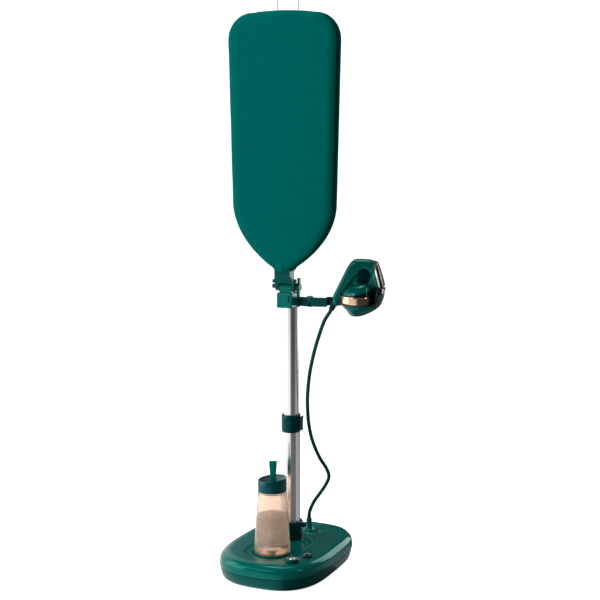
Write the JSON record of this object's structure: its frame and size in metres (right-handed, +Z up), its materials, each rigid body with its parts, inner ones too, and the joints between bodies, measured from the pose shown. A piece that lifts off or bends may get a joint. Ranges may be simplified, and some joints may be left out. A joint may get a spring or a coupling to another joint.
{
  "type": "clothes iron",
  "caption": "Upright garment steaming station: wide base with a water bottle, telescopic mast, tilting padded ironing board and a hand steam iron parked in a side cradle.",
  "frame": {"origin": "the mast's axis where it meets the floor", "axes": "+Z up along the mast, -Y towards the user (bottle, controls and pad face this way), +X towards the iron's cradle"},
  "size_m": [0.4427, 0.4285, 1.6917],
  "materials": {
    "green_gloss": "deep green high-gloss plastic",
    "dark_plastic": "very dark green satin plastic",
    "black_rubber": "black rubber",
    "tube_metal": "satin aluminium tube",
    "steel": "brushed steel",
    "bright": "bright metal",
    "rose_gold": "rose gold metallic",
    "sole_metal": "polished ceramic-coated soleplate",
    "bottle_clear": "clear amber-tinted plastic",
    "cotton": "green woven cotton cover over a pad"
  },
  "bodies": {
    "base": {"base_cover": "green_gloss", "base_pan": "dark_plastic", "foot_front_left": "black_rubber", "foot_front_right": "black_rubber", "foot_rear_left": "black_rubber", "foot_rear_right": "black_rubber", "ballast_weight": "steel", "steam_boiler": "steel", "water_pump": "dark_plastic", "control_board": "black_rubber", "power_inlet": "black_rubber", "dial_switch": "dark_plastic", "button_switch": "black_rubber", "bottle_seat": "dark_plastic", "mast_socket": "dark_plastic", "lower_tube": "tube_metal", "guide_bush": "black_rubber", "height_collar": "dark_plastic", "hose_outlet": "green_gloss", "steam_hose": "black_rubber"},
    "dial": {"steam_dial": "dark_plastic", "dial_cap": "bright", "dial_shaft": "steel"},
    "button": {"power_button": "dark_plastic"},
    "bottle": {"water_bottle": "bottle_clear", "bottle_valve": "dark_plastic"},
    "cap": {"bottle_cap": "dark_plastic", "cap_strap": "green_gloss"},
    "collar_lever": {"collar_lever": "dark_plastic"},
    "socket_screw": {"socket_screw": "dark_plastic"},
    "mast": {"upper_tube": "tube_metal", "mast_head": "green_gloss", "tilt_pin": "steel", "tilt_pin_cap": "dark_plastic", "arm_root": "dark_plastic", "arm_screw": "green_gloss", "holder_arm": "green_gloss", "iron_cradle": "green_gloss"},
    "tilt_lever": {"tilt_lever": "dark_plastic"},
    "board": {"board_bracket": "green_gloss", "board_panel": "dark_plastic", "board_cover": "cotton", "hook_clip_left": "dark_plastic", "hook_clip_right": "dark_plastic"},
    "hook": {"hanger_hook": "steel"},
    "iron": {"iron_body": "green_gloss", "iron_heater": "steel", "sole_skirt": "dark_plastic", "soleplate": "sole_metal", "heel_ring": "rose_gold", "heel_cap": "dark_plastic", "heel_block": "dark_plastic", "hose_sleeve": "black_rubber"},
    "trigger": {"steam_trigger": "dark_plastic"}
  },
  "joints": [
    {"name": "mast_slide", "type": "slide", "parent": "base", "child": "mast", "axis": [0, 0, 1], "range_m": [-0.25, 0], "deforming": ["steam_hose"]},
    {"name": "board_tilt", "type": "hinge", "parent": "mast", "child": "board", "pos_m": [0, -0.03, 0.8365], "axis": [1, 0, 0], "range_deg": [-90, 0]},
    {"name": "tilt_lever_turn", "type": "hinge", "parent": "mast", "child": "tilt_lever", "pos_m": [0.0373, -0.03, 0.8365], "axis": [1, 0, 0], "range_deg": [0, 75]},
    {"name": "collar_lever_open", "type": "hinge", "parent": "base", "child": "collar_lever", "pos_m": [0.0318, 0, 0.41], "axis": [0, 1, 0], "range_deg": [0, 75]},
    {"name": "socket_screw_turn", "type": "hinge", "parent": "base", "child": "socket_screw", "pos_m": [0.0368, 0, 0.1205], "axis": [1, 0, 0], "range_deg": [0, 180]},
    {"name": "steam_dial_turn", "type": "hinge", "parent": "base", "child": "dial", "pos_m": [0.09, -0.186, 0.0753], "axis": [0, 0, 1], "range_deg": [-135, 135]},
    {"name": "power_button_press", "type": "slide", "parent": "base", "child": "button", "axis": [0, 0, -1], "range_m": [0, 0.002], "stiffness_N_per_m": 400, "springref_m": -0.001},
    {"name": "bottle_lift", "type": "slide", "parent": "base", "child": "bottle", "axis": [0, 0, 1], "range_m": [0, 0.09]},
    {"name": "cap_lift", "type": "slide", "parent": "bottle", "child": "cap", "axis": [0, 0, 1], "range_m": [0, 0.05]},
    {"name": "iron_lift", "type": "slide", "parent": "mast", "child": "iron", "axis": [0, 0, 1], "range_m": [0, 0.08]},
    {"name": "steam_trigger_press", "type": "slide", "parent": "iron", "child": "trigger", "axis": [-0.8521, -0.2605, 0.454], "range_m": [0, 0.003], "stiffness_N_per_m": 500, "springref_m": -0.001},
    {"name": "hanger_hook_slide", "type": "slide", "parent": "board", "child": "hook", "axis": [0, 0, 1], "range_m": [-0.06, 0]}
  ]
}
